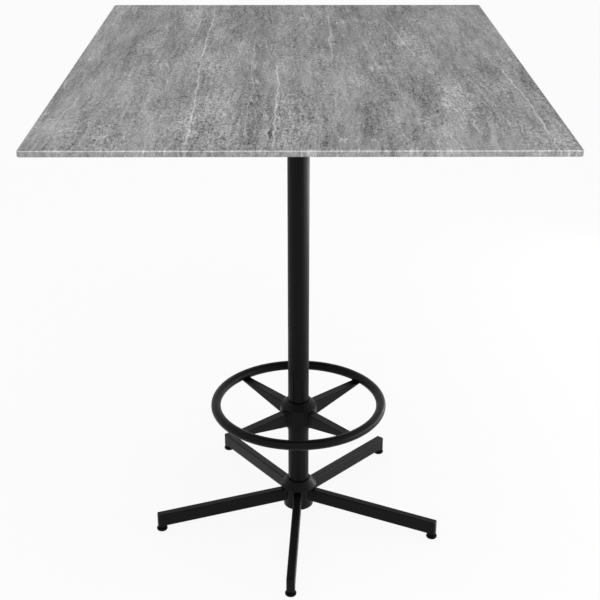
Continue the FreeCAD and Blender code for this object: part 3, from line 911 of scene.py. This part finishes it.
def fillet(points, faces_at, leg_length, pitch, closed, chance):
    """Vertices and faces of a rippled fillet weld along a line of points.

    faces_at gives, for a place and the seam's direction there, the two directions that lead
    away from the seam along the joined faces.
    """
    path = spaced(points, pitch / SECTIONS_PER_RIPPLE, closed)
    count, sides = len(path), len(FILLET_PROFILE)
    vertices = []
    for number, point in enumerate(path):
        before = path[number - 1] if closed or number else point
        after = path[(number + 1) % count] if closed or number < count - 1 else point
        along = (after - before).normalized()
        first, second = faces_at(point, along)
        if first.cross(second).dot(along) < 0:
            first, second = second, first
        ripple = 1 + RIPPLE_SHARE * math.cos(2 * math.pi * number / SECTIONS_PER_RIPPLE)
        ripple += chance.uniform(-UNEVEN_SHARE, UNEVEN_SHARE)
        if not closed and number in (0, count - 1):
            ripple *= END_SHARE
        for on_first, on_second in FILLET_PROFILE:
            reach = leg_length * ripple
            vertices.append(point + reach * (on_first * first + on_second * second))
    faces = []
    for number in range(count if closed else count - 1):
        here, there = number * sides, (number + 1) % count * sides
        for turn in range(sides):
            following = (turn + 1) % sides
            faces.append((here + turn, here + following, there + following, there + turn))
    if not closed:
        faces.append(tuple(reversed(range(sides))))
        faces.append(tuple(range((count - 1) * sides, count * sides)))
    return vertices, faces


# ---------------------------------------------------------------- operators
class PUBTABLE_OT_tabletop(bpy.types.Operator):
    """Gives the top its stone-look laminate"""

    bl_idname = "pub_table.tabletop"
    bl_label = "Tabletop"

    def execute(self, context):
        dress_nodes("stone_look_laminate", laminate_finish(context.scene.pub_table_laminate))
        return {"FINISHED"}


class PUBTABLE_OT_steelwork(bpy.types.Operator):
    """Gives the column, base, foot ring, top socket and arms their powder coat"""

    bl_idname = "pub_table.steelwork"
    bl_label = "Steelwork"

    def execute(self, context):
        dress_nodes("black_powder_coat", coat_finish(context.scene.pub_table_coat))
        return {"FINISHED"}


class PUBTABLE_OT_welds(bpy.types.Operator):
    """Lays the fillet welds of the legs, the spokes, the foot ring and the arms"""

    bl_idname = "pub_table.welds"
    bl_label = "Welds"

    def execute(self, context):
        settings = context.scene.pub_table_welds
        size = settings.leg_length
        coat = finish_of("base_hub")
        chance = random.Random(RIPPLE_SEED)

        def weld(name, line, faces_at, leg_length=size, closed=False):
            shape = fillet(line, faces_at, leg_length, settings.ripple_pitch, closed, chance)
            new_piece(name, shape, coat, FIXED_BODY, WELD_SMOOTHING)

        for leg in LEG_NAMES:
            tube = "leg_tube_" + leg
            seam = seam_on_hub(tube, BASE_HUB_RADIUS)
            weld("weld_leg_" + leg, seam, hub_and_member(tube, seam), closed=True)
        for corner in CORNER_NAMES:
            spoke, arm = "foot_ring_spoke_" + corner, "top_arm_" + corner
            seam = seam_on_hub(spoke, RING_HUB_RADIUS)
            weld("weld_spoke_root_" + corner, without_bottom(seam), hub_and_member(spoke, seam))
            weld("weld_ring_" + corner, seam_on_ring(spoke), spoke_and_ring, size * RING_WELD_SHARE)
            seam = seam_on_hub(arm, TOP_SOCKET_RADIUS)
            for side, line in enumerate(upright_sides(seam, size)):
                weld(f"weld_arm_{corner}_{side + 1}", line, hub_and_member(arm, seam))
        return {"FINISHED"}


class PUBTABLE_OT_glides(bpy.types.Operator):
    """Finishes the glide pads and all zinc-plated pieces, and threads each glide's screw"""

    bl_idname = "pub_table.glides"
    bl_label = "Levelling glides"

    def execute(self, context):
        threads = context.scene.pub_table_threads
        slot = "zinc_plated_steel"
        zinc = metal_finish(slot)
        dress_nodes("black_nylon", nylon_finish())
        dress_nodes(slot, zinc)
        for leg in LEG_NAMES:
            stem = "glide_stem_" + leg
            shape = glide_screw(stem, threads)
            new_piece("glide_screw_" + leg, shape, zinc, stem, THREAD_SMOOTHING, [stem])
        return {"FINISHED"}


HEAD_THICKNESS = 2.5 * MILLIMETRE
KEY_DEPTH = 3.5 * MILLIMETRE
HEAD_EDGE = 0.3 * MILLIMETRE
GLIDE_THREAD_RADIUS = 3.95 * MILLIMETRE
SHANK_NECK = 1.0 * MILLIMETRE


def glide_screw(node, threads):
    """A screw with a flat round head below, a key socket in it and a rolled thread."""
    low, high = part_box(node)
    centre = (low + high) / 2
    head_radius = (high.x - low.x) / 2
    root = GLIDE_THREAD_RADIUS - THREAD_DEPTH_SHARE * threads.glide_pitch

    def socket(angle):
        return hexagon_radius(threads.key_across_flats, angle)

    thread_low = low.z + HEAD_THICKNESS + SHANK_NECK
    rings = (
        (socket, low.z + KEY_DEPTH),
        (socket, low.z),
        (head_radius - HEAD_EDGE, low.z),
        (head_radius, low.z + HEAD_EDGE),
        (head_radius, low.z + HEAD_THICKNESS - HEAD_EDGE),
        (head_radius - HEAD_EDGE, low.z + HEAD_THICKNESS),
        (root, low.z + HEAD_THICKNESS),
        (root, thread_low),
    )
    head = turned_rings(centre, rings, closed_above=False)
    shank = threaded_shank(centre, GLIDE_THREAD_RADIUS, threads.glide_pitch, thread_low, high.z)
    return fused(head, shank, flat_end(centre, root, high.z, upward=True))


class PUBTABLE_OT_tie_rod(bpy.types.Operator):
    """Cuts the thread on the lower end of the tie rod and chamfers its nut"""

    bl_idname = "pub_table.tie_rod"
    bl_label = "Tie rod"

    def execute(self, context):
        zinc = finish_of("glide_stem_front")
        rod = threaded_rod(context.scene.pub_table_threads.rod_pitch)
        new_piece("tie_rod_threaded", rod, zinc, FIXED_BODY, THREAD_SMOOTHING, ["tie_rod"])
        nut = chamfered_nut()
        new_piece("tie_rod_nut_chamfered", nut, zinc, FIXED_BODY, NUT_SMOOTHING, ["tie_rod_nut"])
        return {"FINISHED"}


ROD_THREAD_LENGTH = 40 * MILLIMETRE
NUT_CHAMFER_DEPTH = 1.2 * MILLIMETRE


def threaded_rod(pitch):
    """The tie rod: threaded at its lower end and plain above."""
    low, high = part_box("tie_rod")
    centre = (low + high) / 2
    radius = (high.x - low.x) / 2
    root = radius - THREAD_DEPTH_SHARE * pitch
    thread_high = low.z + ROD_THREAD_LENGTH
    rings = ((root, thread_high), (radius, thread_high + radius - root), (radius, high.z))
    plain = turned_rings(centre, rings, closed_below=False)
    shank = threaded_shank(centre, radius, pitch, low.z, thread_high)
    return fused(flat_end(centre, root, low.z, upward=False), shank, plain)


def chamfered_nut():
    """A hexagon nut whose corners are turned off at both faces, with a plain bore."""
    low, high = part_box("tie_rod_nut")
    centre = (low + high) / 2
    bore = half_width("tie_rod")
    across_flats = min(high.x - low.x, high.y - low.y)

    def outline(angle):
        return hexagon_radius(across_flats, angle)

    def turned_off(angle):
        return min(outline(angle), across_flats / 2)

    rings = (
        (bore, low.z),
        (turned_off, low.z),
        (outline, low.z + NUT_CHAMFER_DEPTH),
        (outline, high.z - NUT_CHAMFER_DEPTH),
        (turned_off, high.z),
        (bore, high.z),
    )
    vertices, faces = turned_rings(centre, rings, closed_below=False, closed_above=False)
    faces += ring_faces((len(rings) - 1) * ROUND_STEPS, 0)
    return vertices, faces


class PUBTABLE_OT_small_fixings(bpy.types.Operator):
    """Finishes the set screws of the foot ring and the inserts in the top"""

    bl_idname = "pub_table.small_fixings"
    bl_label = "Small fixings"

    def execute(self, context):
        for slot in ("blackened_steel", "brass"):
            dress_nodes(slot, metal_finish(slot))
        return {"FINISHED"}


# ---------------------------------------------------------------- studio
FLOOR_HALF_WIDTH = 40.0
FLOOR_DROP = 0.05 * MILLIMETRE
WHITE = (1.0, 1.0, 1.0, 1.0)
SENSOR_WIDTH = 36           # millimetres
LAMPS = (
    # name, place, aimed at, width, height, radiance
    ("front", (0.0, -1.6, 3.2), (0.0, 0.0, 1.09), 2.0, 1.6, 2.5),
    ("right", (2.2, -0.3, 0.36), (0.0, 0.0, 0.3), 2.0, 0.7, 6.0),
    ("low_right", (1.7, 1.1, 0.25), (0.0, 0.0, 0.2), 1.4, 0.5, 5.5),
)


def floor_finish(settings):
    """A pale floor that keeps its shadows, and that isn't seen from below."""
    finish = Finish("studio_floor")
    lit = finish.add("BsdfDiffuse", {"Color": (*settings.floor_colour, 1.0)})
    glow = finish.add("Emission", {"Color": WHITE, "Strength": 1.0})
    share = finish.product(finish.seen_directly(), settings.floor_glow)
    pale = finish.add("MixShader", {0: share, 1: lit.outputs[0], 2: glow.outputs[0]})
    back = finish.add("NewGeometry").outputs["Backfacing"]
    camera = finish.add("LightPath").outputs["Is Camera Ray"]
    clear = finish.add("BsdfTransparent")
    from_below = finish.product(back, camera)
    shown = finish.add("MixShader", {0: from_below, 1: pale.outputs[0], 2: clear.outputs[0]})
    finish.add("OutputMaterial", {"Surface": shown.outputs[0]})
    return finish.material


def make_floor(settings):
    """A wide level floor, just under the feet so that it touches nothing."""
    mesh = bpy.data.meshes.new("studio_floor")
    half = FLOOR_HALF_WIDTH
    corners = [(-half, -half), (half, -half), (half, half), (-half, half)]
    mesh.from_pydata([(x, y, -FLOOR_DROP) for x, y in corners], [], [(0, 1, 2, 3)])
    mesh.materials.append(floor_finish(settings))
    floor = bpy.data.objects.new("studio_floor", mesh)
    bpy.context.scene.collection.objects.link(floor)


def make_surround(settings):
    """White where it is seen, and an even, softer light for everything else."""
    world = bpy.data.worlds.new("studio_surround")
    world.use_nodes = True
    shading = Shading(world.node_tree)
    light = shading.add("Background", {"Color": WHITE, "Strength": settings.surround_light})
    white = shading.add("Background", {"Color": WHITE, "Strength": 1.0})
    mixed = {0: shading.seen_directly(), 1: light.outputs[0], 2: white.outputs[0]}
    shown = shading.add("MixShader", mixed)
    shading.add("OutputWorld", {"Surface": shown.outputs[0]})
    bpy.context.scene.world = world


def make_lamp(name, place, target, width, height, radiance):
    """A soft rectangular lamp of an even radiance, turned to its target."""
    lamp = bpy.data.lights.new("lamp_" + name, "AREA")
    lamp.shape = "RECTANGLE"
    lamp.size = width
    lamp.size_y = height
    lamp.energy = radiance * math.pi * width * height
    holder = bpy.data.objects.new("lamp_" + name, lamp)
    holder.location = place
    direction = Vector(target) - Vector(place)
    holder.rotation_euler = direction.to_track_quat("-Z", "Y").to_euler()
    bpy.context.scene.collection.objects.link(holder)


def make_camera(settings):
    """The camera at its place, turned, pitched down and rolled."""
    camera = bpy.data.cameras.new("studio_camera")
    camera.lens = settings.camera_lens
    camera.sensor_width = SENSOR_WIDTH
    holder = bpy.data.objects.new("studio_camera", camera)
    turn = Matrix.Rotation(-settings.camera_turn, 4, "Z")
    tilt = Matrix.Rotation(math.pi / 2 - settings.camera_pitch, 4, "X")
    roll = Matrix.Rotation(settings.camera_roll, 4, "Z")
    holder.matrix_world = Matrix.Translation(settings.camera_place) @ turn @ tilt @ roll
    bpy.context.scene.collection.objects.link(holder)
    bpy.context.scene.camera = holder


class PUBTABLE_OT_stage(bpy.types.Operator):
    """Sets up the floor, the surroundings, the lamps and the camera"""

    bl_idname = "pub_table.stage"
    bl_label = "Studio"

    def execute(self, context):
        settings = context.scene.pub_table_studio
        context.scene.view_settings.view_transform = "Standard"
        make_floor(settings)
        make_surround(settings)
        for lamp in LAMPS:
            make_lamp(*lamp)
        make_camera(settings)
        return {"FINISHED"}


# ---------------------------------------------------------------- panel and registration
OPERATORS = (
    PUBTABLE_OT_tabletop,
    PUBTABLE_OT_steelwork,
    PUBTABLE_OT_welds,
    PUBTABLE_OT_glides,
    PUBTABLE_OT_tie_rod,
    PUBTABLE_OT_small_fixings,
    PUBTABLE_OT_stage,
)


class PUBTABLE_PT_panel(bpy.types.Panel):
    """Lists the steps and their settings in the 3D view's sidebar"""

    bl_idname = "PUBTABLE_PT_panel"
    bl_label = "Pub Table"
    bl_space_type = "VIEW_3D"
    bl_region_type = "UI"
    bl_category = "Pub Table"

    def draw(self, context):
        for operator in OPERATORS:
            self.layout.operator(operator.bl_idname)
        for name, settings in SETTINGS:
            group = getattr(context.scene, name)
            box = self.layout.box()
            for value in settings.__annotations__:
                box.prop(group, value)


def register():
    """Adds the settings, the operators and the panel."""
    for name, settings in SETTINGS:
        bpy.utils.register_class(settings)
        setattr(bpy.types.Scene, name, bpy.props.PointerProperty(type=settings))
    for operator in OPERATORS:
        bpy.utils.register_class(operator)
    bpy.utils.register_class(PUBTABLE_PT_panel)


def unregister():
    """Takes away what register added."""
    bpy.utils.unregister_class(PUBTABLE_PT_panel)
    for operator in reversed(OPERATORS):
        bpy.utils.unregister_class(operator)
    for name, settings in reversed(SETTINGS):
        delattr(bpy.types.Scene, name)
        bpy.utils.unregister_class(settings)


def main():
    """Runs every step once, in order."""
    register()
    for operator in OPERATORS:
        category, name = operator.bl_idname.split(".")
        getattr(getattr(bpy.ops, category), name)()


if __name__ == "__main__":
    main()
